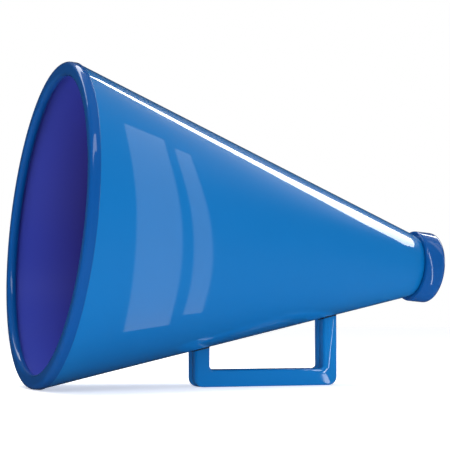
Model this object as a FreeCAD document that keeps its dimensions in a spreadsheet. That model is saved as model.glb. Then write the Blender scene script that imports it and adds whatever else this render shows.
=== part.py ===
import FreeCAD, Part
import os

import Sketcher

# Cheer megaphone: a moulded cone with a bell rim, a soft mouthpiece and a two-shell handle bolted underneath.
#
# Millimetres and degrees. +Z is up, +X runs from the bell to the mouthpiece and the plane y 0 is the plane
# of symmetry. The megaphone lies as it is put down, on the lowest point of the bell rim and on the grip of
# the handle, so the cone's axis dips towards the mouthpiece by RestTilt. The origin is on that surface,
# under the middle of the whole part.

SIZES = {
    # cone shell, along its own axis from the bell mouth
    "BellRadius": 157.5,        # outside of the cone in the plane of the bell mouth
    "ConeLength": 392,          # bell mouth to the shoulder at the neck
    "NeckRadius": 32,           # outside of the cone at the shoulder
    "ShellWall": 3,             # square to the surface
    "NeckLand": 16,             # where the wall thickens towards the spigot
    "SpigotRadius": 26.5,
    "SpigotLength": 14,
    "SpigotWall": 2.5,
    "BarbStart": 7,             # snap barb round the spigot
    "BarbWidth": 3,
    "BarbHeight": 0.8,
    # bell rim
    "RimDepth": 14,             # radial size of the bead
    "RimLength": 9,             # axial size of the bead
    "RimProud": 0.6,            # how far the back of the bead stands outside the cone
    "RimRounding": 4.2,
    "RimBackRounding": 0.5,     # where the bead meets the outside of the cone
    "LipInRim": 4.5,            # how far the shell's lip sits in the bead
    "LipStep": 1.8,             # how far the lip is set in from the outside of the cone
    "RimFit": 0.1,
    # mouthpiece
    "MouthRadius": 36.5,
    "MouthLength": 22.5,
    "CupFlare": 6,              # how much wider the cup is than the throat
    "CupDepth": 7,
    "CupRounding": 3,
    "ThroatStep": 2,            # how far the throat stands inside the bore of the spigot
    "MouthBackRounding": 7,
    "MouthFrontRounding": 2,
    "MouthFit": 0.1,
    # stance
    "RestTilt": 4.9,
    # handle
    "HandleStart": 162,         # bell mouth's lowest point to the front of the handle
    "HandleLength": 152,
    "HandleWidth": 24,
    "GripThickness": 17,
    "LegThickness": 15,
    "HandleWall": 2.5,
    "OuterCorner": 9,
    "InnerCorner": 4,
    "EdgeRounding": 3,
    "EndBlock": 15,             # solid depth at the top of each leg
    "RibThickness": 1.6,
    "RibCount": 6,
    "BossRadius": 4,
    "TopBossHeight": 38,
    # handle shell screws
    "CaseScrewRadius": 1.5,
    "CaseScrewLength": 16,
    "CaseHeadRadius": 2.8,
    "CaseHeadHeight": 2.2,
    "CaseScrewSeat": 5,         # depth of the counterbore that the head sits in
    "PilotSpare": 1.2,
    "CaseSocketFlats": 2.5,
    "CaseSocketDepth": 1.2,
    # what clamps each leg to the cone
    "GasketThickness": 1,
    "PlateThickness": 2,
    "PlateLength": 34,
    "PlateWidth": 24,
    "PlateCorner": 4,
    "SpotFaceDepth": 0.5,
    "WasherRadius": 4.5,
    "WasherThickness": 0.8,
    "LegScrewRadius": 2,
    "LegScrewLength": 18,
    "LegHeadRadius": 4,
    "LegHeadHeight": 3,
    "LegSocketFlats": 2.5,
    "LegSocketDepth": 1.6,
    "NutFlats": 7,
    "NutHeight": 3.2,
    "NutDepth": 5,              # plastic between the end of the leg and its nut
    "HoleFit": 0.25,            # radial room round a screw that passes through
    "NutFit": 0.1,
    "ScrewFit": 0.05,           # radial room in a thread
}

doc = FreeCAD.newDocument("megaphone")
sheet = doc.addObject("Spreadsheet::Sheet", "Sheet")
for row, (name, value) in enumerate(SIZES.items(), start=1):
    sheet.set(f"A{row}", name)
    sheet.set(f"B{row}", str(value))
    sheet.setAlias(f"B{row}", name)
doc.recompute()

# ---------------------------------------------------------------- values that follow from the driving ones
derived = doc.addObject("App::VarSet", "Derived")


def derive(name, expression):
    """Adds a value that follows from those before it."""
    derived.addProperty("App::PropertyFloat", name, "Derived")
    derived.setExpression(name, expression)
    doc.recompute()


derive("ConeAngle", "atan((Sheet.BellRadius - Sheet.NeckRadius) / Sheet.ConeLength)")
derive("RadialWall", "Sheet.ShellWall / cos(.ConeAngle)")
derive("LipStart", "Sheet.RimLength - Sheet.LipInRim")
derive("Shoulder", "Sheet.RimLength + Sheet.RimFit")
derive("LandStart", "Sheet.ConeLength - Sheet.NeckLand")
derive("LandRadius", "Sheet.NeckRadius + Sheet.NeckLand * tan(.ConeAngle) - .RadialWall")
derive("BoreRadius", "Sheet.SpigotRadius - Sheet.SpigotWall")
derive("ThroatRadius", ".BoreRadius - Sheet.ThroatStep")
derive("CupRadius", ".ThroatRadius + Sheet.CupFlare")
derive("RimRadius", "Sheet.BellRadius - Sheet.RimLength * tan(.ConeAngle) + Sheet.RimProud")
derive("TotalLength", "Sheet.ConeLength + Sheet.MouthLength")
derive("BellZ", "(Sheet.RimLength - Sheet.RimBackRounding) * sin(Sheet.RestTilt)"
       " + (.RimRadius - Sheet.RimBackRounding) * cos(Sheet.RestTilt) + Sheet.RimBackRounding")
derive("FrontReach", "(.RimRadius - Sheet.RimRounding) * sin(Sheet.RestTilt)"
       " - Sheet.RimRounding * cos(Sheet.RestTilt) + Sheet.RimRounding")
derive("BackReach", "(.TotalLength - Sheet.MouthBackRounding) * cos(Sheet.RestTilt)"
       " + (Sheet.MouthRadius - Sheet.MouthBackRounding) * sin(Sheet.RestTilt) + Sheet.MouthBackRounding")
derive("BellX", "(.FrontReach - .BackReach) / 2")
# the underside of the cone is a straight line in the plane y 0
derive("Rise", ".ConeAngle - Sheet.RestTilt")
derive("UndersideX", ".BellX - Sheet.BellRadius * sin(Sheet.RestTilt)")
derive("UndersideZ", ".BellZ - Sheet.BellRadius * cos(Sheet.RestTilt)")
derive("HandleX", ".UndersideX + Sheet.HandleStart")
derive("HandleBackX", ".HandleX + Sheet.HandleLength")
derive("HandleMiddleX", "(.HandleX + .HandleBackX) / 2")
# each leg's screw crosses the leg's centre line in the middle of its nut
LEGS = {"Front": ".HandleX + Sheet.LegThickness / 2", "Rear": ".HandleBackX - Sheet.LegThickness / 2"}
for leg, place in LEGS.items():
    derive(f"{leg}LegX", place)
    derive(f"{leg}LegTop", f".UndersideZ + (.{leg}LegX - .UndersideX) * tan(.Rise)")
    derive(f"{leg}ScrewX", f".{leg}LegX"
           " - (Sheet.GasketThickness + Sheet.NutDepth + Sheet.NutHeight / 2) * sin(.Rise)")
    derive(f"{leg}ScrewZ", f".UndersideZ + (.{leg}ScrewX - .UndersideX) * tan(.Rise)")
    derive(f"{leg}Station", f"(.{leg}ScrewX - .BellX) * cos(Sheet.RestTilt)"
           f" - (.{leg}ScrewZ - .BellZ) * sin(Sheet.RestTilt)")
# seats along a leg screw, out from the outside of the cone
derive("PlateSeat", "-Sheet.ShellWall - Sheet.PlateThickness + Sheet.SpotFaceDepth")
derive("HeadSeat", ".PlateSeat - Sheet.WasherThickness")
derive("NutSeat", "Sheet.GasketThickness + Sheet.NutDepth")


# ---------------------------------------------------------------- frames, as pairs of expressions for x and z
def on_cone(station, radius):
    """A point of the underside: a station along the cone's axis and a radius from it."""
    return (f"Derived.BellX + ({station}) * cos(Sheet.RestTilt) - ({radius}) * sin(Sheet.RestTilt)",
            f"Derived.BellZ - ({station}) * sin(Sheet.RestTilt) - ({radius}) * cos(Sheet.RestTilt)")


def on_leg_screw(leg):
    """Points along a leg screw's axis, out of the cone, and across it."""
    def point(out, across):
        return (f"Derived.{leg}ScrewX + ({out}) * sin(Derived.Rise) + ({across}) * cos(Derived.Rise)",
                f"Derived.{leg}ScrewZ - ({out}) * cos(Derived.Rise) + ({across}) * sin(Derived.Rise)")
    return point


def on_leg_screw_in_cone(leg):
    """The same, in the cone's own frame, whose x is its axis."""
    def point(out, across):
        skin = f"(Sheet.BellRadius - Derived.{leg}Station * tan(Derived.ConeAngle))"
        return (f"Derived.{leg}Station + ({out}) * sin(Derived.ConeAngle) + ({across}) * cos(Derived.ConeAngle)",
                f"-{skin} - ({out}) * cos(Derived.ConeAngle) + ({across}) * sin(Derived.ConeAngle)")
    return point


# ---------------------------------------------------------------- sketches and features
def new_body(name):
    return doc.addObject("PartDesign::Body", name)


def new_sketch(body, name, plane="XZ_Plane"):
    sketch = body.newObject("Sketcher::SketchObject", name)
    sketch.AttachmentSupport = [(next(o for o in body.Origin.OriginFeatures if o.Role == plane), "")]
    sketch.MapMode = "FlatFace"
    return sketch


def hold(sketch, kind, geometry, point, expression):
    """Ties one coordinate of a sketch point, or a radius, to an expression."""
    value = float(sheet.evalExpression(expression))
    where = (geometry,) if point is None else (geometry, point)
    made = sketch.addConstraint(Sketcher.Constraint(kind, *where, value))
    sketch.setExpression(f"Constraints[{made}]", expression)


def draw_outline(sketch, corners):
    """A closed outline through corners, given as pairs of expressions."""
    first, count = sketch.GeometryCount, len(corners)
    places = [FreeCAD.Vector(*(float(sheet.evalExpression(e)) for e in corner), 0) for corner in corners]
    for i in range(count):
        sketch.addGeometry(Part.LineSegment(places[i], places[(i + 1) % count]), False)
    for i in range(count):
        sketch.addConstraint(Sketcher.Constraint("Coincident", first + i, 2, first + (i + 1) % count, 1))
    for i, (x, y) in enumerate(corners):
        hold(sketch, "DistanceX", first + i, 1, x)
        hold(sketch, "DistanceY", first + i, 1, y)


def draw_axis(sketch, start, end):
    """A construction line that a feature turns about."""
    places = [FreeCAD.Vector(*(float(sheet.evalExpression(e)) for e in point), 0) for point in (start, end)]
    line = sketch.addGeometry(Part.LineSegment(*places), True)
    for point, (x, y) in ((1, start), (2, end)):
        hold(sketch, "DistanceX", line, point, x)
        hold(sketch, "DistanceY", line, point, y)


def draw_circle(sketch, x, y, radius):
    centre = FreeCAD.Vector(float(sheet.evalExpression(x)), float(sheet.evalExpression(y)), 0)
    circle = Part.Circle(centre, FreeCAD.Vector(0, 0, 1), float(sheet.evalExpression(radius)))
    made = sketch.addGeometry(circle, False)
    hold(sketch, "DistanceX", made, 3, x)
    hold(sketch, "DistanceY", made, 3, y)
    hold(sketch, "Radius", made, None, radius)


def draw_hexagon(sketch, flats):
    """A hexagon about the sketch's origin, with two corners on its x axis."""
    corner = f"({flats}) / 2 / cos(30)"
    draw_outline(sketch, [(f"{corner} * cos({60 * i})", f"{corner} * sin({60 * i})") for i in range(6)])


def turn(body, name, corners, axis="H_Axis"):
    """Revolves an outline in the body's XZ plane about its x axis (H_Axis) or z axis (V_Axis)."""
    sketch = new_sketch(body, f"{name}_profile")
    draw_outline(sketch, corners)
    feature = body.newObject("PartDesign::Revolution", name)
    feature.Profile = sketch
    feature.ReferenceAxis = (sketch, [axis])
    feature.Angle = 360
    doc.recompute()
    return feature


def cut_round(body, name, frame, length, corners):
    """Cuts away an outline turned about a frame's axis; corners are (along, across) pairs."""
    sketch = new_sketch(body, f"{name}_profile")
    draw_axis(sketch, frame("0", "0"), frame(length, "0"))
    draw_outline(sketch, [frame(along, across) for along, across in corners])
    before = body.Shape.Volume
    feature = body.newObject("PartDesign::Groove", name)
    feature.Profile = sketch
    feature.ReferenceAxis = (sketch, ["Axis0"])
    feature.Angle = 360
    doc.recompute()
    check_removed(name, before, body.Shape.Volume)
    return feature


def cut_hole(body, name, leg, frame, radius, start, end):
    """A round hole along a leg screw, from start to end out from the outside of the cone."""
    return cut_round(body, name, frame(leg), "Sheet.LegScrewLength",
                     [(start, "0"), (end, "0"), (end, radius), (start, radius)])


def pad(body, name, draw, length, plane="XZ_Plane", midplane=False, backwards=False):
    sketch = new_sketch(body, f"{name}_profile", plane)
    draw(sketch)
    feature = body.newObject("PartDesign::Pad", name)
    feature.Profile = sketch
    feature.Midplane = midplane
    feature.Reversed = backwards
    feature.setExpression("Length", length)
    doc.recompute()
    return feature


def pocket(body, name, draw, length, plane="XZ_Plane", midplane=False, backwards=False):
    sketch = new_sketch(body, f"{name}_profile", plane)
    draw(sketch)
    before = body.Shape.Volume
    feature = body.newObject("PartDesign::Pocket", name)
    feature.Profile = sketch
    feature.Midplane = midplane
    feature.Reversed = backwards
    feature.setExpression("Length", length)
    doc.recompute()
    check_removed(name, before, body.Shape.Volume)
    return feature


def check_removed(name, before, after):
    if not after < before:
        raise SystemExit(f"{name} cut nothing")


def fillet(body, name, radius, wanted):
    """Rounds the edges of the body's tip that a test picks."""
    tip = body.Tip
    picked = [f"Edge{i}" for i, edge in enumerate(tip.Shape.Edges, start=1) if wanted(edge)]
    if not picked:
        raise SystemExit(f"{name} found no edge")
    feature = body.newObject("PartDesign::Fillet", name)
    feature.Base = (tip, picked)
    feature.setExpression("Radius", radius)
    doc.recompute()
    return feature


def size_of(expression):
    return float(sheet.evalExpression(expression))


def near(value, expression):
    return abs(value - size_of(expression)) < 0.01


def circle_at(edge, along, radius):
    """True for a full circle about the x axis at a station and radius."""
    curve = edge.Curve
    return isinstance(curve, Part.Circle) and near(curve.Center.x, along) and near(curve.Radius, radius)


def crosswise(edge):
    """True for a straight edge along y."""
    ends = [v.Point for v in edge.Vertexes]
    return len(ends) == 2 and abs((ends[1] - ends[0]).normalize().y) > 0.999


def turned_to(obj, axis, angle, x, z, y="0"):
    """Binds an object's placement."""
    obj.Placement.Rotation = FreeCAD.Rotation(FreeCAD.Vector(*axis), 1)
    obj.setExpression("Placement.Rotation.Angle", angle)
    obj.setExpression("Placement.Base.x", x)
    obj.setExpression("Placement.Base.y", y)
    obj.setExpression("Placement.Base.z", z)
    return obj


def lay_on_cone_axis(body):
    """Stands a body whose own x is the cone's axis."""
    return turned_to(body, (0, 1, 0), "Sheet.RestTilt", "Derived.BellX", "Derived.BellZ")


def stand_on_leg_screw(body, leg, out):
    """Stands a body whose own z runs out of the cone along a leg screw."""
    x, z = on_leg_screw(leg)(out, "0")
    return turned_to(body, (0, 1, 0), "180 - Derived.Rise", x, z)


# ---------------------------------------------------------------- cone shell
def on_skin(station, offset):
    """A station along the cone's axis and a radius, given as an offset from the outside of the cone."""
    return (station, f"Sheet.BellRadius - ({station}) * tan(Derived.ConeAngle) + ({offset})")


def make_cone_shell():
    """A thin tapering wall with a lip set in for the rim, a shoulder at the neck and a spigot with a snap
    barb for the mouthpiece."""
    body = new_body("cone_shell")
    barb = "Sheet.ConeLength + Sheet.BarbStart"
    turn(body, "cone_wall", [
        on_skin("Derived.LipStart", "-Sheet.LipStep"),
        on_skin("Derived.Shoulder", "-Sheet.LipStep"),
        on_skin("Derived.Shoulder", "0"),
        ("Sheet.ConeLength", "Sheet.NeckRadius"),
        ("Sheet.ConeLength", "Sheet.SpigotRadius"),
        (barb, "Sheet.SpigotRadius"),
        (barb, "Sheet.SpigotRadius + Sheet.BarbHeight"),
        (f"{barb} + Sheet.BarbWidth", "Sheet.SpigotRadius"),
        ("Sheet.ConeLength + Sheet.SpigotLength", "Sheet.SpigotRadius"),
        ("Sheet.ConeLength + Sheet.SpigotLength", "Derived.BoreRadius"),
        ("Sheet.ConeLength", "Derived.BoreRadius"),
        ("Derived.LandStart", "Derived.LandRadius"),
        on_skin("Derived.LipStart", "-Derived.RadialWall"),
    ])
    for leg in LEGS:
        cut_hole(body, f"cone_hole_{leg.lower()}", leg, on_leg_screw_in_cone,
                 "Sheet.LegScrewRadius + Sheet.HoleFit", "-3 * Sheet.ShellWall", "3 * Sheet.ShellWall")
    return lay_on_cone_axis(body)


# ---------------------------------------------------------------- bell rim
def make_bell_rim():
    """A soft edge bead with a slot that takes the lip of the cone, close to flush with the cone outside."""
    body = new_body("bell_rim")
    inner = "Derived.RimRadius - Sheet.RimDepth"
    turn(body, "rim_bead", [
        ("0", "Derived.RimRadius"),
        ("Sheet.RimLength", "Derived.RimRadius"),
        ("Sheet.RimLength", inner),
        ("0", inner),
    ])

    def at_cone(edge):
        return circle_at(edge, "Sheet.RimLength", "Derived.RimRadius")

    fillet(body, "rim_rounding", "Sheet.RimRounding",
           lambda edge: isinstance(edge.Curve, Part.Circle) and not at_cone(edge))
    fillet(body, "rim_back_rounding", "Sheet.RimBackRounding", at_cone)
    floor, room = "Derived.LipStart - Sheet.RimFit", "Sheet.RimFit / cos(Derived.ConeAngle)"
    past = "2 * Sheet.RimLength"
    cut_round(body, "rim_slot", lambda along, across: (along, across), "Sheet.RimLength", [
        on_skin(floor, f"-Sheet.LipStep + {room}"),
        on_skin(past, f"-Sheet.LipStep + {room}"),
        on_skin(past, f"-Derived.RadialWall - {room}"),
        on_skin(floor, f"-Derived.RadialWall - {room}"),
    ])
    return lay_on_cone_axis(body)


# ---------------------------------------------------------------- mouthpiece
def make_mouthpiece():
    """A soft collar pressed on the spigot, with a rounded back edge and a dished cup for the lips."""
    body = new_body("mouthpiece")
    socket = "Sheet.SpigotRadius + Sheet.MouthFit"
    barb = "Sheet.ConeLength + Sheet.BarbStart"
    end_of_socket = "Sheet.ConeLength + Sheet.SpigotLength + Sheet.MouthFit"
    turn(body, "collar", [
        ("Sheet.ConeLength", "Sheet.MouthRadius"),
        ("Derived.TotalLength", "Sheet.MouthRadius"),
        ("Derived.TotalLength", "Derived.CupRadius"),
        ("Derived.TotalLength - Sheet.CupDepth", "Derived.ThroatRadius"),
        (end_of_socket, "Derived.ThroatRadius"),
        (end_of_socket, socket),
        (f"{barb} + Sheet.BarbWidth + Sheet.MouthFit", socket),
        (f"{barb} - Sheet.MouthFit", f"{socket} + Sheet.BarbHeight"),
        (f"{barb} - Sheet.MouthFit", socket),
        ("Sheet.ConeLength", socket),
    ])
    fillet(body, "back_rounding", "Sheet.MouthBackRounding",
           lambda edge: circle_at(edge, "Derived.TotalLength", "Sheet.MouthRadius"))
    fillet(body, "front_rounding", "Sheet.MouthFrontRounding",
           lambda edge: circle_at(edge, "Sheet.ConeLength", "Sheet.MouthRadius"))
    fillet(body, "throat_rounding", "Sheet.CupRounding",
           lambda edge: circle_at(edge, "Derived.TotalLength - Sheet.CupDepth", "Derived.ThroatRadius"))
    fillet(body, "cup_rounding", "Sheet.MouthFrontRounding / 2",
           lambda edge: circle_at(edge, "Derived.TotalLength", "Derived.CupRadius"))
    return lay_on_cone_axis(body)


# ---------------------------------------------------------------- handle shells
BOSSES = {
    "front": ("Derived.FrontLegX", "Sheet.GripThickness / 2"),
    "middle": ("Derived.HandleMiddleX", "Sheet.GripThickness / 2"),
    "rear": ("Derived.RearLegX", "Sheet.GripThickness / 2"),
    "top": ("Derived.RearLegX", "Sheet.TopBossHeight"),
}


def handle_outline(inset, front_top, rear_top):
    """The U of the handle, brought in by inset, with its two legs cut off at given heights."""
    front, back = f"Derived.HandleX + ({inset})", f"Derived.HandleBackX - ({inset})"
    front_inner = f"Derived.HandleX + Sheet.LegThickness - ({inset})"
    back_inner = f"Derived.HandleBackX - Sheet.LegThickness + ({inset})"
    grip = f"Sheet.GripThickness - ({inset})"
    return [(front, inset), (back, inset), (back, rear_top), (back_inner, rear_top),
            (back_inner, grip), (front_inner, grip), (front_inner, front_top), (front, front_top)]


def rib_outline(number):
    """One cross rib of the grip; the ribs and the bosses share the grip evenly."""
    middle = f"Derived.HandleX + Sheet.HandleLength * {number} / (Sheet.RibCount + 2)"
    low, high = "Sheet.HandleWall / 2", "Sheet.GripThickness - Sheet.HandleWall / 2"
    left, right = f"{middle} - Sheet.RibThickness / 2", f"{middle} + Sheet.RibThickness / 2"
    return [(left, low), (right, low), (right, high), (left, high)]


def make_handle_shell(side, backwards):
    """One moulded half of the handle: open towards the plane y 0, ribbed, with screw bosses, a solid end
    block at the top of each leg that holds half of a nut, and ends that seat on the curve of the cone."""
    body = new_body(f"handle_{side}_shell")
    half = "Sheet.HandleWidth / 2"
    face = size_of(half) * (1 if backwards else -1)
    pad(body, f"{side}_blank",
        lambda sketch: draw_outline(sketch, handle_outline(
            "0", "Derived.FrontLegTop + Sheet.LegThickness", "Derived.RearLegTop + Sheet.LegThickness")),
        half, backwards=backwards)
    # the hollow, with walls of one thickness
    pocket(body, f"{side}_hollow",
           lambda sketch: draw_outline(sketch, handle_outline(
               "Sheet.HandleWall", "Derived.FrontLegTop - Sheet.EndBlock", "Derived.RearLegTop - Sheet.EndBlock")),
           f"{half} - Sheet.HandleWall", backwards=not backwards)
    fillet(body, f"{side}_hollow_corners", "Sheet.OuterCorner - Sheet.HandleWall",
           lambda edge: crosswise(edge) and near(edge.Vertexes[0].Z, "Sheet.HandleWall"))
    fillet(body, f"{side}_outer_corners", "Sheet.OuterCorner",
           lambda edge: crosswise(edge) and near(edge.Vertexes[0].Z, "0"))
    fillet(body, f"{side}_inner_corners", "Sheet.InnerCorner",
           lambda edge: crosswise(edge) and near(edge.Vertexes[0].Z, "Sheet.GripThickness"))
    fillet(body, f"{side}_edges", "Sheet.EdgeRounding",
           lambda edge: all(abs(v.Y - face) < 0.01 for v in edge.Vertexes))

    def draw_ribs(sketch):
        for number in range(2, int(size_of("Sheet.RibCount")) + 1):
            if 2 * number != size_of("Sheet.RibCount") + 2:
                draw_outline(sketch, rib_outline(number))

    def draw_bosses(sketch):
        for x, z in BOSSES.values():
            draw_circle(sketch, x, z, "Sheet.BossRadius")

    deep = f"{half} - Sheet.HandleWall / 2"
    pad(body, f"{side}_ribs", draw_ribs, deep, backwards=backwards)
    pad(body, f"{side}_bosses", draw_bosses, deep, backwards=backwards)

    # the screws go in from the right: clearance and a counterbore there, a pilot in the left shell
    def draw_holes(radius):
        def draw(sketch):
            for x, z in BOSSES.values():
                draw_circle(sketch, x, z, radius)
        return draw

    if side == "right":
        pocket(body, "clearance_holes", draw_holes("Sheet.CaseScrewRadius + Sheet.HoleFit"),
               "Sheet.HandleWidth", backwards=not backwards)
        pocket(body, "counterbores_deep", draw_holes("Sheet.CaseHeadRadius + Sheet.HoleFit"),
               "Sheet.HandleWidth", backwards=not backwards)
        body.Tip.Profile[0].setExpression("AttachmentOffset.Base.z", f"-({half} - Sheet.CaseScrewSeat)")
        doc.recompute()
    else:
        pocket(body, "pilot_holes", draw_holes("Sheet.CaseScrewRadius + Sheet.ScrewFit"),
               f"Sheet.CaseScrewLength - ({half} - Sheet.CaseScrewSeat) + Sheet.PilotSpare",
               backwards=not backwards)

    # the ends of the legs follow the cone, with the gasket between them
    seat = "Sheet.GasketThickness / cos(Derived.ConeAngle)"
    cut_round(body, f"{side}_saddles", on_cone, "Sheet.ConeLength", [
        ("0", "0"), ("Sheet.ConeLength", "0"),
        ("Sheet.ConeLength", f"Sheet.NeckRadius + {seat}"), ("0", f"Sheet.BellRadius + {seat}")])
    for leg in LEGS:
        cut_hole(body, f"{side}_hole_{leg.lower()}", leg, on_leg_screw,
                 "Sheet.LegScrewRadius + Sheet.HoleFit", "0", "Sheet.LegScrewLength")
        across = "(Sheet.NutFlats / 2 / cos(30) + Sheet.NutFit)"
        near_end, far_end = "Derived.NutSeat - Sheet.NutFit", "Derived.NutSeat + Sheet.NutHeight + Sheet.NutFit"
        point = on_leg_screw(leg)
        pocket(body, f"{side}_nut_{leg.lower()}",
               lambda sketch: draw_outline(sketch, [
                   point(near_end, f"-{across}"), point(near_end, across),
                   point(far_end, across), point(far_end, f"-{across}")]),
               "Sheet.NutFlats / 2 + Sheet.NutFit", backwards=not backwards)
    return body


# ---------------------------------------------------------------- handle shell screws
def make_case_screw(boss):
    """A thread-forming screw: its own z runs in from the top of its head."""
    name = f"handle_screw_{boss}"
    body = new_body(name)
    head = "Sheet.CaseHeadHeight"
    turn(body, f"{name}_blank", [
        ("0", "0"), ("Sheet.CaseHeadRadius", "0"), ("Sheet.CaseHeadRadius", head),
        ("Sheet.CaseScrewRadius", head),
        ("Sheet.CaseScrewRadius", f"{head} + Sheet.CaseScrewLength - Sheet.CaseScrewRadius"),
        ("Sheet.CaseScrewRadius / 4", f"{head} + Sheet.CaseScrewLength"), ("0", f"{head} + Sheet.CaseScrewLength"),
    ], "V_Axis")
    pocket(body, f"{name}_socket", lambda sketch: draw_hexagon(sketch, "Sheet.CaseSocketFlats"),
           "Sheet.CaseSocketDepth", "XY_Plane", backwards=True)
    x, z = BOSSES[boss]
    return turned_to(body, (1, 0, 0), "90", x, z,
                     y="Sheet.HandleWidth / 2 - Sheet.CaseScrewSeat + Sheet.CaseHeadHeight")


# ---------------------------------------------------------------- gaskets and backing plates
def cut_to_cone_layer(body, name, outer, inner):
    """Keeps only the layer between two offsets from the outside of the cone."""
    def skin(offset):
        return f"({offset}) / cos(Derived.ConeAngle)"

    far = "2 * Sheet.BellRadius"
    cut_round(body, f"{name}_outside", on_cone, "Sheet.ConeLength", [
        ("0", f"Sheet.BellRadius + {skin(outer)}"), ("Sheet.ConeLength", f"Sheet.NeckRadius + {skin(outer)}"),
        ("Sheet.ConeLength", far), ("0", far)])
    cut_round(body, f"{name}_inside", on_cone, "Sheet.ConeLength", [
        ("0", f"Sheet.BellRadius + {skin(inner)}"), ("Sheet.ConeLength", f"Sheet.NeckRadius + {skin(inner)}"),
        ("Sheet.ConeLength", "0"), ("0", "0")])


def make_gasket(leg):
    """A thin rubber saddle between the end of a leg and the cone, with the outline of the leg."""
    name = f"{leg.lower()}_gasket"
    body = new_body(name)
    x, top, half = f"Derived.{leg}LegX", f"Derived.{leg}LegTop", "Sheet.LegThickness / 2"
    low, high = f"{top} - Sheet.LegThickness", f"{top} + Sheet.LegThickness"
    pad(body, f"{name}_blank",
        lambda sketch: draw_outline(sketch, [
            (f"{x} - {half}", low), (f"{x} + {half}", low), (f"{x} + {half}", high), (f"{x} - {half}", high)]),
        "Sheet.HandleWidth", midplane=True)
    fillet(body, f"{name}_corners", "Sheet.EdgeRounding",
           lambda edge: len(edge.Vertexes) == 2 and abs(edge.tangentAt(edge.FirstParameter).z) > 0.999)
    cut_to_cone_layer(body, name, "Sheet.GasketThickness", "0")
    cut_hole(body, f"{name}_hole", leg, on_leg_screw, "Sheet.LegScrewRadius + Sheet.HoleFit",
             "-Sheet.LegThickness", "Sheet.LegThickness")
    return body


def make_backing_plate(leg):
    """A pressed steel plate inside the cone that spreads a leg screw's pull, spot-faced for its washer."""
    name = f"{leg.lower()}_backing_plate"
    body = new_body(name)
    point, half = on_leg_screw(leg), "Sheet.PlateLength / 2"
    low, high = "0", "-Sheet.PlateWidth / 2"
    pad(body, f"{name}_blank",
        lambda sketch: draw_outline(sketch, [
            point(low, f"-{half}"), point(low, half), point(high, half), point(high, f"-{half}")]),
        "Sheet.PlateWidth", midplane=True)
    rise = size_of("Derived.Rise")
    lengthwise = FreeCAD.Rotation(FreeCAD.Vector(0, 1, 0), -rise).multVec(FreeCAD.Vector(0, 0, 1))
    fillet(body, f"{name}_corners", "Sheet.PlateCorner",
           lambda edge: abs(edge.tangentAt(edge.FirstParameter).dot(lengthwise)) > 0.999)
    cut_to_cone_layer(body, name, "-Sheet.ShellWall", "-Sheet.ShellWall - Sheet.PlateThickness")
    cut_hole(body, f"{name}_hole", leg, on_leg_screw, "Sheet.LegScrewRadius + Sheet.HoleFit",
             "-Sheet.PlateWidth", "0")
    cut_hole(body, f"{name}_spot_face", leg, on_leg_screw, "Sheet.WasherRadius + Sheet.HoleFit",
             "-Sheet.PlateWidth", "Derived.PlateSeat")
    return body


# ---------------------------------------------------------------- leg screws, washers and nuts
def make_leg_screw(leg):
    """A pan-head machine screw: its own z runs in from the top of its head."""
    name = f"{leg.lower()}_leg_screw"
    body = new_body(name)
    head = "Sheet.LegHeadHeight"
    turn(body, f"{name}_blank", [
        ("0", "0"), ("Sheet.LegHeadRadius", "0"), ("Sheet.LegHeadRadius", head), ("Sheet.LegScrewRadius", head),
        ("Sheet.LegScrewRadius", f"{head} + Sheet.LegScrewLength"), ("0", f"{head} + Sheet.LegScrewLength"),
    ], "V_Axis")
    fillet(body, f"{name}_crown", "Sheet.LegHeadHeight / 2",
           lambda edge: isinstance(edge.Curve, Part.Circle) and near(edge.Curve.Radius, "Sheet.LegHeadRadius")
           and near(edge.Curve.Center.z, "0"))
    pocket(body, f"{name}_socket", lambda sketch: draw_hexagon(sketch, "Sheet.LegSocketFlats"),
           "Sheet.LegSocketDepth", "XY_Plane", backwards=True)
    return stand_on_leg_screw(body, leg, "Derived.HeadSeat - Sheet.LegHeadHeight")


def make_washer(leg):
    name = f"{leg.lower()}_washer"
    body = new_body(name)
    bore = "Sheet.LegScrewRadius + Sheet.HoleFit"
    turn(body, f"{name}_ring", [
        (bore, "0"), ("Sheet.WasherRadius", "0"),
        ("Sheet.WasherRadius", "Sheet.WasherThickness"), (bore, "Sheet.WasherThickness")], "V_Axis")
    return stand_on_leg_screw(body, leg, "Derived.HeadSeat")


def make_nut(leg):
    """A hexagon nut held between the two handle shells, with its flats against them."""
    name = f"{leg.lower()}_nut"
    body = new_body(name)

    def draw(sketch):
        draw_hexagon(sketch, "Sheet.NutFlats")
        draw_circle(sketch, "0", "0", "Sheet.LegScrewRadius + Sheet.ScrewFit")

    pad(body, f"{name}_blank", draw, "Sheet.NutHeight", "XY_Plane")
    return stand_on_leg_screw(body, leg, "Derived.NutSeat")


# ---------------------------------------------------------------- the assembly
pieces = [make_cone_shell(), make_bell_rim(), make_mouthpiece()]
pieces += [make_handle_shell("left", False), make_handle_shell("right", True)]
pieces += [make_case_screw(boss) for boss in BOSSES]
for leg in LEGS:
    pieces += [make_gasket(leg), make_backing_plate(leg), make_leg_screw(leg), make_washer(leg), make_nut(leg)]
doc.recompute()

for obj in doc.Objects:
    if {"Invalid", "Error"} & set(obj.State):
        raise SystemExit(f"{obj.Name} failed: {obj.State}")
for piece in pieces:
    shape = piece.Shape
    if shape.isNull() or not shape.isValid() or len(shape.Solids) != 1:
        raise SystemExit(f"{piece.Label} is not one valid solid")

os.makedirs("parts", exist_ok=True)
for piece in pieces:
    piece.Shape.exportStep(f"parts/{piece.Label}.step")
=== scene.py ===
import math

import bmesh
import bpy
from mathutils import Matrix, Vector


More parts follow.
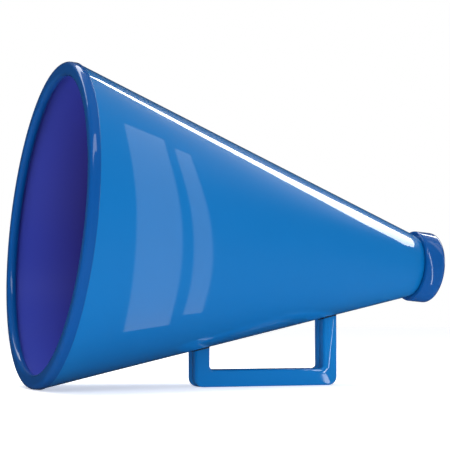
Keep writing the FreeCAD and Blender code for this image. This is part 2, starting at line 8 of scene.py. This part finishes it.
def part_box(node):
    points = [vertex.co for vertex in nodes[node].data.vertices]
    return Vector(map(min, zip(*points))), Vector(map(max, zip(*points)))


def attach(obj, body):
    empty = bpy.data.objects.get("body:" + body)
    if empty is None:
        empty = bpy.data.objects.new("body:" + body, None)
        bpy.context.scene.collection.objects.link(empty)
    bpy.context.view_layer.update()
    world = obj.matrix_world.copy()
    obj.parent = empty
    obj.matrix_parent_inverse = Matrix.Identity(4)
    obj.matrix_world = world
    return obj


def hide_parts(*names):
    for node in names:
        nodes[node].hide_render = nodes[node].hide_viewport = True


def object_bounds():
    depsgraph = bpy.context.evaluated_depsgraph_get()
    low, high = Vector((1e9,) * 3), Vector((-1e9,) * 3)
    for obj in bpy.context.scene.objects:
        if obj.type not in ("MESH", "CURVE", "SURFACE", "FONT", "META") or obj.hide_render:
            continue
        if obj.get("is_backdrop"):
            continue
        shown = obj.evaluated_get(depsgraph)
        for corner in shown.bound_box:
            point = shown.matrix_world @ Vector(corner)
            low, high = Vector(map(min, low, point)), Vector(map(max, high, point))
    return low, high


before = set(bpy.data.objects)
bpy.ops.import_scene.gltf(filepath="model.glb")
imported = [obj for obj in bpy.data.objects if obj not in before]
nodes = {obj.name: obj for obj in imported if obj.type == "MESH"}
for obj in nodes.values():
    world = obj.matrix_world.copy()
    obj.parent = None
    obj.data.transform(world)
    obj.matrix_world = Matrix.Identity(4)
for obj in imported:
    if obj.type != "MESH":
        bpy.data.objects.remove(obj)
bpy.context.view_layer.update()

# ---------------------------------------------------------------- studio
# The megaphone lies on a wide white table in a white room. Two softboxes give an even light, and bent white
# cards stand round it only to be seen in its gloss.
scene = bpy.context.scene
scene.view_settings.view_transform = "Standard"
scene.view_settings.look = "None"

bpy.ops.object.select_all(action="DESELECT")
bpy.ops.mesh.primitive_circle_add(vertices=96, radius=14, fill_type="NGON", location=(0, 0, 0))
table = bpy.context.object
table.name = "table"
table.visible_glossy = False
table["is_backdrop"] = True
table_paint = bpy.data.materials.new("table_paint")
table_paint.use_nodes = True
paint = table_paint.node_tree.nodes["Principled BSDF"]
paint.inputs["Base Color"].default_value = (0.94, 0.94, 0.95, 1)
paint.inputs["Roughness"].default_value = 0.6
paint.inputs["Specular IOR Level"].default_value = 0.1
paint.inputs["Emission Color"].default_value = (1, 1, 1, 1)
paint.inputs["Emission Strength"].default_value = 0.5
table.data.materials.append(table_paint)

room = bpy.data.worlds.new("room")
room.use_nodes = True
scene.world = room
tree = room.node_tree
fill = tree.nodes["Background"]
fill.inputs["Color"].default_value = (0.95, 0.97, 1.0, 1)
fill.inputs["Strength"].default_value = 0.62
backdrop = tree.nodes.new("ShaderNodeBackground")
backdrop.inputs["Strength"].default_value = 1.0
backdrop.inputs["Color"].default_value = (1, 1, 1, 1)
gloss = tree.nodes.new("ShaderNodeBackground")
gloss.inputs["Strength"].default_value = 0.02
gloss.inputs["Color"].default_value = (0.8, 0.9, 1, 1)
path = tree.nodes.new("ShaderNodeLightPath")
for_gloss = tree.nodes.new("ShaderNodeMixShader")
for_camera = tree.nodes.new("ShaderNodeMixShader")
tree.links.new(path.outputs["Is Glossy Ray"], for_gloss.inputs["Fac"])
tree.links.new(fill.outputs["Background"], for_gloss.inputs[1])
tree.links.new(gloss.outputs["Background"], for_gloss.inputs[2])
tree.links.new(path.outputs["Is Camera Ray"], for_camera.inputs["Fac"])
tree.links.new(for_gloss.outputs["Shader"], for_camera.inputs[1])
tree.links.new(backdrop.outputs["Background"], for_camera.inputs[2])
tree.links.new(for_camera.outputs["Shader"], tree.nodes["World Output"].inputs["Surface"])


def softbox(name, place, aim, width, height, power):
    bpy.ops.object.light_add(type="AREA", location=place)
    lamp = bpy.context.object
    lamp.name = name
    lamp.data.shape = "RECTANGLE"
    lamp.data.size = width
    lamp.data.size_y = height
    lamp.data.energy = power
    lamp.visible_glossy = False
    lamp.rotation_euler = (Vector(aim) - Vector(place)).to_track_quat("-Z", "Y").to_euler()


softbox("overhead", (0.1, 0.2, 1.6), (0, 0, 0.1), 1.8, 1.4, 24)
softbox("key", (-1.0, -1.9, 1.2), (0, 0, 0.12), 1.2, 1.2, 20)


def white_card(card, strength):
    """Makes a mesh a glowing card that only shows in gloss."""
    glow = bpy.data.materials.new(card.name)
    glow.use_nodes = True
    shader = glow.node_tree.nodes["Principled BSDF"]
    shader.inputs["Base Color"].default_value = (0, 0, 0, 1)
    shader.inputs["Emission Color"].default_value = (1, 1, 1, 1)
    shader.inputs["Emission Strength"].default_value = strength
    card.data.materials.append(glow)
    card.visible_camera = False
    card.visible_diffuse = False
    card.visible_shadow = False
    card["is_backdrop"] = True


def start_edit():
    bpy.ops.object.mode_set(mode="EDIT")


def end_edit():
    bpy.ops.object.mode_set(mode="OBJECT")


def select_faces(piece, wanted):
    """Selects the faces that pass a test, in edit mode."""
    mesh = bmesh.from_edit_mesh(piece.data)
    bpy.ops.mesh.select_mode(type="FACE")
    bpy.ops.mesh.select_all(action="DESELECT")
    for face in mesh.faces:
        if wanted(face):
            face.select = True
    bmesh.update_edit_mesh(piece.data)


def hoop_card(name, place, tilt, lean, radius, width, ends, strength):
    """A strip bent round the megaphone; ends are the angles, up from the near side, where it stops."""
    bpy.ops.object.select_all(action="DESELECT")
    bpy.ops.mesh.primitive_cylinder_add(vertices=180, radius=radius, depth=width, end_fill_type="NOTHING")
    hoop = bpy.context.object
    hoop.name = name
    hoop.rotation_euler = (0, math.radians(90 + tilt), math.radians(lean))
    hoop.location = place
    bpy.ops.object.transform_apply()

    def past_an_end(face):
        middle = face.calc_center_median()
        angle = math.degrees(math.atan2(middle.z - place[2], place[1] - middle.y))
        return not ends[0] < angle < ends[1]

    start_edit()
    select_faces(hoop, past_an_end)
    bpy.ops.mesh.delete(type="FACE")
    end_edit()
    white_card(hoop, strength)


def bent_card(name, upper, lower, strength):
    """A card between two bent edges."""
    mesh = bpy.data.meshes.new(name)
    count = len(upper)
    mesh.from_pydata(upper + lower, [], [(i, i + 1, count + i + 1, count + i) for i in range(count - 1)])
    card = bpy.data.objects.new(name, mesh)
    scene.collection.objects.link(card)
    white_card(card, strength)


# two pale bands down the near side of the cone
hoop_card("wide_hoop", (0.973, 0.321, -0.24), -8.4, 11.1, 1.5, 0.132, (-88, 78), 0.95)
hoop_card("narrow_hoop", (1.098, 0.345, -0.22), -8.4, 11.1, 1.5, 0.057, (-76, 75), 0.95)
# two glints on the collar, one at its top and one down its side
hoop_card("collar_hoop_high", (0.745, 0, 0.12), 0, 0, 1.4, 0.035, (0, 64), 7)
hoop_card("collar_hoop_low", (0.745, 0, 0.12), 0, 0, 1.4, 0.035, (-60, -9), 7)
# the long streak along the top of the cone
bent_card("sail", [(0.55, 1.1, 1.15), (1.1, 1.0, 1.25), (1.55, 0.95, 1.3), (1.9, 0.75, 1.4)],
          [(0.55, 1.05, 1.2), (1.2, 0.8, 1.4), (2.1, 0.15, 1.6), (2.7, -0.4, 1.55)], 9)
# soft light along both upper sides, and on the end of the collar
bent_card("near_strip", [(-1.3, -1.0, 1.15), (0.2, -1.0, 1.15)], [(-1.3, -0.75, 1.35), (0.2, -0.75, 1.35)], 3)
bent_card("far_strip", [(-1.3, 1.0, 1.15), (0.2, 1.0, 1.15)], [(-1.3, 0.75, 1.35), (0.2, 0.75, 1.35)], 3)
bent_card("end_card", [(1.7, -0.35, 0.5), (1.7, 0.6, 0.5)], [(1.7, -0.35, 0.2), (1.7, 0.6, 0.2)], 2)
# a glint on the lower corner of the handle
bent_card("grip_card", [(0.78, -1.5, -0.05), (0.79, -1.5, -0.03), (0.805, -1.5, 0.07)],
          [(0.79, -1.5, -0.065), (0.812, -1.5, -0.05), (0.812, -1.5, 0.07)], 14)

# ---------------------------------------------------------------- camera
# It stands low in front of the bell's side of the megaphone and looks slightly up at it.
camera_data = bpy.data.cameras.new("camera")
camera = bpy.data.objects.new("camera", camera_data)
scene.collection.objects.link(camera)
scene.camera = camera
camera_data.lens = 106.8
camera_data.sensor_width = 36
camera.location = (-0.5172, -1.2873, 0.0638)
ahead = Vector((0.3616, 0.9323, 0.0621)).normalized()
side = ahead.cross(Vector((0, 0, 1))).normalized()
camera.rotation_mode = "QUATERNION"
camera.rotation_quaternion = Matrix((side, side.cross(ahead), -ahead)).transposed().to_quaternion()
camera_data.clip_start = 0.05
camera_data.clip_end = 60

# ---------------------------------------------------------------- cone
# One moulded cone of polyethylene, 3 mm thick, glossy blue outside; its inside is painted shade, a dark
# indigo that is lighter at the bell and darker further in, so that the mouth reads deep. A lip is set in at
# the bell for the rim; a shoulder at the neck takes the mouthpiece.
rest_tilt = math.radians(4.9)
bell_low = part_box("bell_rim")[0]
bell_radius = 0.1575
neck_radius = 0.032
cone_length = 0.392
cone_angle = math.atan((bell_radius - neck_radius) / cone_length)
wall = 0.003
rim_length = 0.009
rim_rounding = 0.0042
rim_back_rounding = 0.0005
rim_proud = 0.0006
rim_radius = bell_radius - rim_length * math.tan(cone_angle) + rim_proud
bell_centre = Vector((
    bell_low.x + (rim_radius - rim_rounding) * math.sin(rest_tilt) + rim_rounding * (1 - math.cos(rest_tilt)),
    0,
    (rim_length - rim_back_rounding) * math.sin(rest_tilt)
    + (rim_radius - rim_back_rounding) * math.cos(rest_tilt) + rim_back_rounding))


def new_ring(name, station, radius):
    """A ring of edges round the x axis: the start of anything turned."""
    bpy.ops.object.select_all(action="DESELECT")
    bpy.ops.mesh.primitive_circle_add(vertices=256, radius=radius, location=(station, 0, 0),
                                      rotation=(0, math.pi / 2, 0))
    bpy.ops.object.transform_apply()
    piece = bpy.context.object
    piece.name = name
    piece.data.name = name
    return piece


def grow(profile):
    """Extrudes the selected ring from point to point of a profile of (station, radius) pairs."""
    for (station, radius), (next_station, next_radius) in zip(profile, profile[1:]):
        bpy.ops.mesh.extrude_edges_move(TRANSFORM_OT_translate={"value": (next_station - station, 0, 0)})
        if abs(next_radius - radius) > 1e-7:
            scale = next_radius / radius
            bpy.ops.transform.resize(value=(1, scale, scale), center_override=(next_station, 0, 0))


def select_edges(piece, wanted):
    """Selects the edges that pass a test, in edit mode."""
    mesh = bmesh.from_edit_mesh(piece.data)
    bpy.ops.mesh.select_mode(type="EDGE")
    bpy.ops.mesh.select_all(action="DESELECT")
    for edge in mesh.edges:
        if wanted(edge):
            edge.select = True
    mesh.select_flush_mode()
    bmesh.update_edit_mesh(piece.data)


def round_ring(piece, station, radius, rounding, segments):
    """Rounds the corner that a turned piece has at a station and radius."""
    def on_the_ring(edge):
        return all(abs(v.co.x - station) < 1e-5 and abs(math.hypot(v.co.y, v.co.z) - radius) < 1e-5
                   for v in edge.verts)
    select_edges(piece, on_the_ring)
    bpy.ops.mesh.bevel(offset=rounding, segments=segments, affect="EDGES")


def turn_outwards():
    bpy.ops.mesh.select_all(action="SELECT")
    bpy.ops.mesh.normals_make_consistent(inside=False)


def close_up():
    """Joins the last ring of a turned piece to its first and turns its faces outwards."""
    bpy.ops.mesh.select_all(action="SELECT")
    bpy.ops.mesh.remove_doubles(threshold=1e-5)
    turn_outwards()


def pick(piece):
    bpy.ops.object.select_all(action="DESELECT")
    piece.select_set(True)
    bpy.context.view_layer.objects.active = piece


def finish_piece(piece):
    """Puts a piece's place into its mesh, so that it sits at the origin, unturned, and rides on the body."""
    pick(piece)
    bpy.ops.object.transform_apply(location=True, rotation=True, scale=True)
    bpy.ops.object.shade_smooth_by_angle(angle=math.radians(35))
    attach(piece, "root")


def settle(piece):
    """Moves a turned piece from the x axis to the megaphone's own axis."""
    piece.location = bell_centre
    piece.rotation_euler = (0, rest_tilt, 0)
    finish_piece(piece)


def cone_outside(station):
    """The cone's outside radius at a distance from the bell."""
    return bell_radius - station * math.tan(cone_angle)


radial_wall = wall / math.cos(cone_angle)
lip = 0.0045
lip_step = 0.0018
fit = 0.0001
lip_end = rim_length + fit
spigot = 0.0265
spigot_end = cone_length + 0.014
bore = 0.024
land = 0.016
shoulder_rounding = 0.0012
# outside, from the lip to the neck
profile = [(lip, cone_outside(lip) - lip_step), (lip_end, cone_outside(lip_end) - lip_step)]
for share in (0, 0.05, 0.1, 0.2, 0.3, 0.4, 0.5, 0.6, 0.7, 0.8, 0.9, 0.96):
    station = lip_end + (cone_length - lip_end) * share
    profile.append((station, cone_outside(station)))
# shoulder, spigot and bore
profile += [(cone_length, neck_radius), (cone_length, spigot), (spigot_end, spigot),
            (spigot_end, bore), (cone_length, bore),
            (cone_length - land, cone_outside(cone_length - land) - radial_wall)]
# inside, back to the lip
for share in (0.8, 0.6, 0.4, 0.2):
    station = lip + (cone_length - lip) * share
    profile.append((station, cone_outside(station) - radial_wall))
profile += [(lip, cone_outside(lip) - radial_wall), profile[0]]
cone = new_ring("cone", *profile[0])
start_edit()
grow(profile)
close_up()
round_ring(cone, cone_length, neck_radius, shoulder_rounding, 3)
end_edit()


def skin_group():
    """The skin of a moulded part: faint orange peel, softer patches where it was handled, fine scratches."""
    group = bpy.data.node_groups.new("moulded_skin", "ShaderNodeTree")
    for name in ("Peel Scale", "Scratch Amount", "Base Roughness"):
        group.interface.new_socket(name, in_out="INPUT", socket_type="NodeSocketFloat")
    for name in ("Roughness", "Height", "Patches", "Scratches"):
        group.interface.new_socket(name, in_out="OUTPUT", socket_type="NodeSocketFloat")
    node, link = group.nodes, group.links
    given = node.new("NodeGroupInput")
    out = node.new("NodeGroupOutput")
    place = node.new("ShaderNodeTexCoord")

    peel = node.new("ShaderNodeTexNoise")
    peel.inputs["Detail"].default_value = 3
    peel.inputs["Roughness"].default_value = 0.45
    link.new(place.outputs["Object"], peel.inputs["Vector"])
    link.new(given.outputs["Peel Scale"], peel.inputs["Scale"])

    patches = node.new("ShaderNodeTexNoise")
    patches.inputs["Scale"].default_value = 9
    patches.inputs["Detail"].default_value = 5
    patches.inputs["Roughness"].default_value = 0.6
    link.new(place.outputs["Object"], patches.inputs["Vector"])

    stretch = node.new("ShaderNodeMapping")
    stretch.inputs["Rotation"].default_value = (0.35, 0.9, 0.2)
    stretch.inputs["Scale"].default_value = (30, 620, 620)
    link.new(place.outputs["Object"], stretch.inputs["Vector"])
    hair = node.new("ShaderNodeTexNoise")
    hair.inputs["Scale"].default_value = 1
    hair.inputs["Detail"].default_value = 2
    link.new(stretch.outputs["Vector"], hair.inputs["Vector"])
    thin = node.new("ShaderNodeMapRange")
    thin.inputs["From Min"].default_value = 0.70
    thin.inputs["From Max"].default_value = 0.76
    link.new(hair.outputs["Fac"], thin.inputs["Value"])
    scratches = node.new("ShaderNodeMath")
    scratches.operation = "MULTIPLY"
    link.new(thin.outputs["Result"], scratches.inputs[0])
    link.new(given.outputs["Scratch Amount"], scratches.inputs[1])

    dull = node.new("ShaderNodeMapRange")
    dull.inputs["From Min"].default_value = 0.35
    dull.inputs["From Max"].default_value = 0.75
    dull.inputs["To Min"].default_value = -0.03
    dull.inputs["To Max"].default_value = 0.06
    link.new(patches.outputs["Fac"], dull.inputs["Value"])
    rough = node.new("ShaderNodeMath")
    rough.operation = "ADD"
    link.new(given.outputs["Base Roughness"], rough.inputs[0])
    link.new(dull.outputs["Result"], rough.inputs[1])
    worn = node.new("ShaderNodeMath")
    worn.operation = "MULTIPLY_ADD"
    worn.inputs[1].default_value = 0.25
    link.new(scratches.outputs["Value"], worn.inputs[0])
    link.new(rough.outputs["Value"], worn.inputs[2])

    height = node.new("ShaderNodeMath")
    height.operation = "MULTIPLY_ADD"
    height.inputs[1].default_value = -0.6
    link.new(scratches.outputs["Value"], height.inputs[0])
    link.new(peel.outputs["Fac"], height.inputs[2])

    link.new(worn.outputs["Value"], out.inputs["Roughness"])
    link.new(height.outputs["Value"], out.inputs["Height"])
    link.new(patches.outputs["Fac"], out.inputs["Patches"])
    link.new(scratches.outputs["Value"], out.inputs["Scratches"])
    return group


moulded_skin = skin_group()


def skinned(name, colour, handled_colour, roughness, peel_scale, peel_strength, scratch_amount):
    """A material with the moulded skin, whose colour drifts a little between two shades."""
    peel_depth = 0.00002
    material = bpy.data.materials.new(name)
    material.use_nodes = True
    node, link = material.node_tree.nodes, material.node_tree.links
    shader = node["Principled BSDF"]
    skin = node.new("ShaderNodeGroup")
    skin.node_tree = moulded_skin
    skin.inputs["Peel Scale"].default_value = peel_scale
    skin.inputs["Scratch Amount"].default_value = scratch_amount
    skin.inputs["Base Roughness"].default_value = roughness
    drift = node.new("ShaderNodeMix")
    drift.data_type = "RGBA"
    drift.name = "drift"
    drift.inputs["A"].default_value = (*colour, 1)
    drift.inputs["B"].default_value = (*handled_colour, 1)
    link.new(skin.outputs["Patches"], drift.inputs["Factor"])
    link.new(drift.outputs["Result"], shader.inputs["Base Color"])
    link.new(skin.outputs["Roughness"], shader.inputs["Roughness"])
    bump = node.new("ShaderNodeBump")
    bump.inputs["Strength"].default_value = peel_strength
    bump.inputs["Distance"].default_value = peel_depth
    link.new(skin.outputs["Height"], bump.inputs["Height"])
    link.new(bump.outputs["Normal"], shader.inputs["Normal"])
    return material


def moulded_plastic(name, colour, handled_colour, roughness=0.34, peel_scale=420, scratch_amount=0.35,
                    coat=1.0):
    """A moulded plastic, glossy where it has its coat."""
    material = skinned(name, colour, handled_colour, roughness, peel_scale, peel_strength=0.35,
                       scratch_amount=scratch_amount)
    shader = material.node_tree.nodes["Principled BSDF"]
    shader.inputs["IOR"].default_value = 1.5
    shader.inputs["Specular IOR Level"].default_value = 0.1
    shader.inputs["Coat Weight"].default_value = coat
    shader.inputs["Coat Roughness"].default_value = 0.025
    return material


cone_blue = moulded_plastic("cone_blue", (0.0015, 0.132, 0.385), (0.002, 0.140, 0.405))
# the inside's dark indigo is painted shade on the cone's own blue plastic
cone_inside_painted_shade = moulded_plastic("cone_inside_painted_shade", (0.024, 0.015, 0.15), (0.020, 0.012, 0.13), roughness=0.38,
                              coat=0.0, scratch_amount=0.15)
# painted shade: lighter at the bell, darkening over the first quarter of the cone's length into the mouth
node, link = cone_inside_painted_shade.node_tree.nodes, cone_inside_painted_shade.node_tree.links
place = node.new("ShaderNodeTexCoord")
along = node.new("ShaderNodeSeparateXYZ")
depth = node.new("ShaderNodeMapRange")
depth.inputs["From Min"].default_value = bell_centre.x
depth.inputs["From Max"].default_value = bell_centre.x + cone_length / 4
depth_painted_shade = node.new("ShaderNodeMix")
depth_painted_shade.data_type = "RGBA"
depth_painted_shade.inputs["A"].default_value = (0.034, 0.055, 0.41, 1)
link.new(place.outputs["Object"], along.inputs["Vector"])
link.new(along.outputs["X"], depth.inputs["Value"])
link.new(depth.outputs["Result"], depth_painted_shade.inputs["Factor"])
link.new(node["drift"].outputs["Result"], depth_painted_shade.inputs["B"])
link.new(depth_painted_shade.outputs["Result"], node["Principled BSDF"].inputs["Base Color"])
cone.data.materials.append(cone_blue)
cone.data.materials.append(cone_inside_painted_shade)
# the faces that face inwards, short of the neck, take the painted shade
for face in cone.data.polygons:
    middle = face.center
    radius = math.hypot(middle.y, middle.z)
    facing_in = face.normal.y * middle.y + face.normal.z * middle.z < 0
    face.material_index = 1 if facing_in and middle.x < cone_length else 0
settle(cone)
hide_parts("cone_shell")

# ---------------------------------------------------------------- bell rim
# A bead of tougher, darker plastic pushed over the cone's lip, which takes the knocks. It is all but flush
# with the cone outside and turns in over the lip in front.
rim_depth = 0.014
rim_inside = rim_radius - rim_depth
slot_floor = lip - fit
slack = fit / math.cos(cone_angle)
profile = [(rim_length, rim_radius), (0, rim_radius), (0, rim_inside), (rim_length, rim_inside),
           (rim_length, cone_outside(rim_length) - radial_wall - slack),
           (slot_floor, cone_outside(slot_floor) - radial_wall - slack),
           (slot_floor, cone_outside(slot_floor) - lip_step + slack),
           (rim_length, cone_outside(rim_length) - lip_step + slack), (rim_length, rim_radius)]
rim = new_ring("rim", *profile[0])
start_edit()
grow(profile)
close_up()
round_ring(rim, 0, rim_radius, rim_rounding, 7)
round_ring(rim, 0, rim_inside, rim_rounding, 7)
round_ring(rim, rim_length, rim_inside, rim_rounding, 7)
round_ring(rim, rim_length, rim_radius, rim_back_rounding, 3)
end_edit()
edge_blue = moulded_plastic("edge_blue", (0.0005, 0.064, 0.255), (0.001, 0.070, 0.270), roughness=0.36,
                            scratch_amount=0.6)
rim.data.materials.append(edge_blue)
settle(rim)
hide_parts("bell_rim")

# ---------------------------------------------------------------- mouthpiece
# A collar of the same dark plastic as the rim, moulded in one piece and pressed on the cone's spigot. Its end
# is rounded outside and dished inside, where the lips go.
mouth_radius = 0.0365
mouth_end = cone_length + 0.0225
socket = spigot + fit
socket_end = spigot_end + fit
cup = 0.028
cup_depth = 0.007
throat = 0.022
back_rounding = 0.0045
front_rounding = 0.002
cup_rounding = 0.0012
throat_rounding = 0.0015
mouthpiece = new_ring("mouth_collar", cone_length, socket)
start_edit()
grow([(cone_length, socket), (cone_length, mouth_radius), (mouth_end, mouth_radius), (mouth_end, cup),
      (mouth_end - cup_depth, throat), (socket_end, throat), (socket_end, socket), (cone_length, socket)])
close_up()
round_ring(mouthpiece, mouth_end, mouth_radius, back_rounding, 8)
round_ring(mouthpiece, cone_length, mouth_radius, front_rounding, 4)
round_ring(mouthpiece, mouth_end, cup, cup_rounding, 3)
round_ring(mouthpiece, mouth_end - cup_depth, throat, throat_rounding, 4)
end_edit()
mouthpiece.data.materials.append(edge_blue)
settle(mouthpiece)
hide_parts("mouthpiece")

# ---------------------------------------------------------------- handle
# Two moulded halves that meet on the middle plane, with the cone's curve cut into the tops of the legs.
# Four screws go in from the far side, down in their counterbores.
left_low, left_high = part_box("handle_left_shell")
grip = 0.017
leg = 0.015
outer_corner = 0.009
inner_corner = 0.004
edge_rounding = 0.003
seam = 0.0003
half_width = left_high.y - left_low.y
front, back = left_low.x, left_high.x


def cut_at(x):
    """Cuts a ring of edges round the piece that is in edit mode."""
    bpy.ops.mesh.select_all(action="SELECT")
    bpy.ops.mesh.bisect(plane_co=(x, 0, 0), plane_no=(1, 0, 0))


def top_of_a_leg(face):
    middle = face.calc_center_median()
    return face.normal.z > 0.9 and (middle.x < front + leg or middle.x > back - leg)


def crosses_at(edge, height):
    """True for an edge that runs along y at a height."""
    a, b = (v.co for v in edge.verts)
    return abs(a.y - b.y) > half_width / 2 and all(abs(end.z - height) < 1e-6 for end in (a, b))


def inside_corner(edge):
    return crosses_at(edge, grip) and front + leg / 2 < edge.verts[0].co.x < back - leg / 2


def outside_corner(edge):
    return crosses_at(edge, 0) and not front + 1e-6 < edge.verts[0].co.x < back - 1e-6


def outline_at(y):
    """The outline of the flat side at a place along y."""
    def test(edge):
        flat_faces = [face for face in edge.link_faces if abs(face.normal.y) > 0.99]
        return len(flat_faces) == 1 and all(abs(v.co.y - y) < 1e-6 for v in edge.verts)
    return test


bpy.ops.object.select_all(action="DESELECT")
bpy.ops.mesh.primitive_cube_add(size=1, location=((front + back) / 2, -half_width / 2, grip / 2),
                                scale=(back - front, half_width, grip))
left = bpy.context.object
left.name = "handle_left"
bpy.ops.object.transform_apply()
start_edit()
cut_at(front + leg)
cut_at(back - leg)
select_faces(left, top_of_a_leg)
into_the_cone = left_high.z + leg  # higher than the legs end, so that the cone can be cut out of them
bpy.ops.mesh.extrude_region_move(TRANSFORM_OT_translate={"value": (0, 0, into_the_cone - grip)})
for wanted, rounding, segments in ((inside_corner, inner_corner, 6), (outside_corner, outer_corner, 9),
                                   (outline_at(-half_width), edge_rounding, 6), (outline_at(0), seam, 2)):
    select_edges(left, wanted)
    bpy.ops.mesh.bevel(offset=rounding, segments=segments, affect="EDGES")
turn_outwards()
end_edit()

gasket = 0.001 / math.cos(cone_angle)
bpy.ops.object.select_all(action="DESELECT")
bpy.ops.mesh.primitive_cone_add(vertices=256, radius1=bell_radius + gasket, radius2=neck_radius + gasket,
                                depth=cone_length)
cutter = bpy.context.object
cutter.matrix_world = (Matrix.Translation(bell_centre) @ Matrix.Rotation(rest_tilt, 4, "Y")
                       @ Matrix.Translation((cone_length / 2, 0, 0)) @ Matrix.Rotation(math.pi / 2, 4, "Y"))


def cut_away(piece, tool):
    """Cuts a tool out of a piece and throws the tool away."""
    cut = piece.modifiers.new("cut", "BOOLEAN")
    cut.operation = "DIFFERENCE"
    cut.solver = "EXACT"
    cut.object = tool
    pick(piece)
    bpy.ops.object.modifier_apply(modifier=cut.name)
    bpy.data.objects.remove(tool)


cut_away(left, cutter)

right = left.copy()
right.data = left.data.copy()
right.name = "handle_right"
scene.collection.objects.link(right)
right.scale = (1, -1, 1)
pick(right)
bpy.ops.object.transform_apply()
start_edit()
turn_outwards()
end_edit()

counterbore = 0.00305
seat_depth = 0.005
for name in ("front", "middle", "rear", "top"):
    low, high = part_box(f"handle_screw_{name}")
    place = (low + high) / 2
    place.y = half_width
    bpy.ops.object.select_all(action="DESELECT")
    bpy.ops.mesh.primitive_cylinder_add(vertices=48, radius=counterbore, depth=2 * seat_depth, location=place,
                                        rotation=(math.pi / 2, 0, 0))
    cut_away(right, bpy.context.object)

# the cone's plastic, painted lighter to make up for the shade the handle sits in under the cone: painted
# light
handle_blue_painted_light = moulded_plastic("handle_blue_painted_light", (0.0015, 0.165, 0.48), (0.002, 0.175, 0.50))
for piece, node_name in ((left, "handle_left_shell"), (right, "handle_right_shell")):
    piece.data.materials.append(handle_blue_painted_light)
    finish_piece(piece)
    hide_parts(node_name)

# ---------------------------------------------------------------- screws, washers, nuts, plates and gaskets
# Zinc-plated steel fasteners and curved plates inside the cone, and black rubber saddles under the legs.
# They stay as they were designed and take their finishes here.


def zinc(name, colour, roughness):
    """Zinc plating, with patches a fifth darker."""
    material = skinned(name, colour, [0.8 * part for part in colour], roughness, peel_scale=900,
                       peel_strength=0.3, scratch_amount=0.5)
    material.node_tree.nodes["Principled BSDF"].inputs["Metallic"].default_value = 1
    return material


screw_zinc = zinc("screw_zinc", (0.70, 0.71, 0.72), 0.28)
plate_zinc = zinc("plate_zinc", (0.60, 0.61, 0.63), 0.40)
rubber = moulded_plastic("rubber", (0.012, 0.012, 0.014), (0.02, 0.02, 0.022), roughness=0.7, coat=0.0,
                         peel_scale=1500)
finishes = {"screw": screw_zinc, "plate": plate_zinc, "washer": plate_zinc, "nut": plate_zinc,
            "gasket": rubber}
for name, obj in nodes.items():
    for word, material in finishes.items():
        if word in name:
            obj.data.materials.clear()
            obj.data.materials.append(material)

# ---------------------------------------------------------------- sizes
low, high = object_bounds()
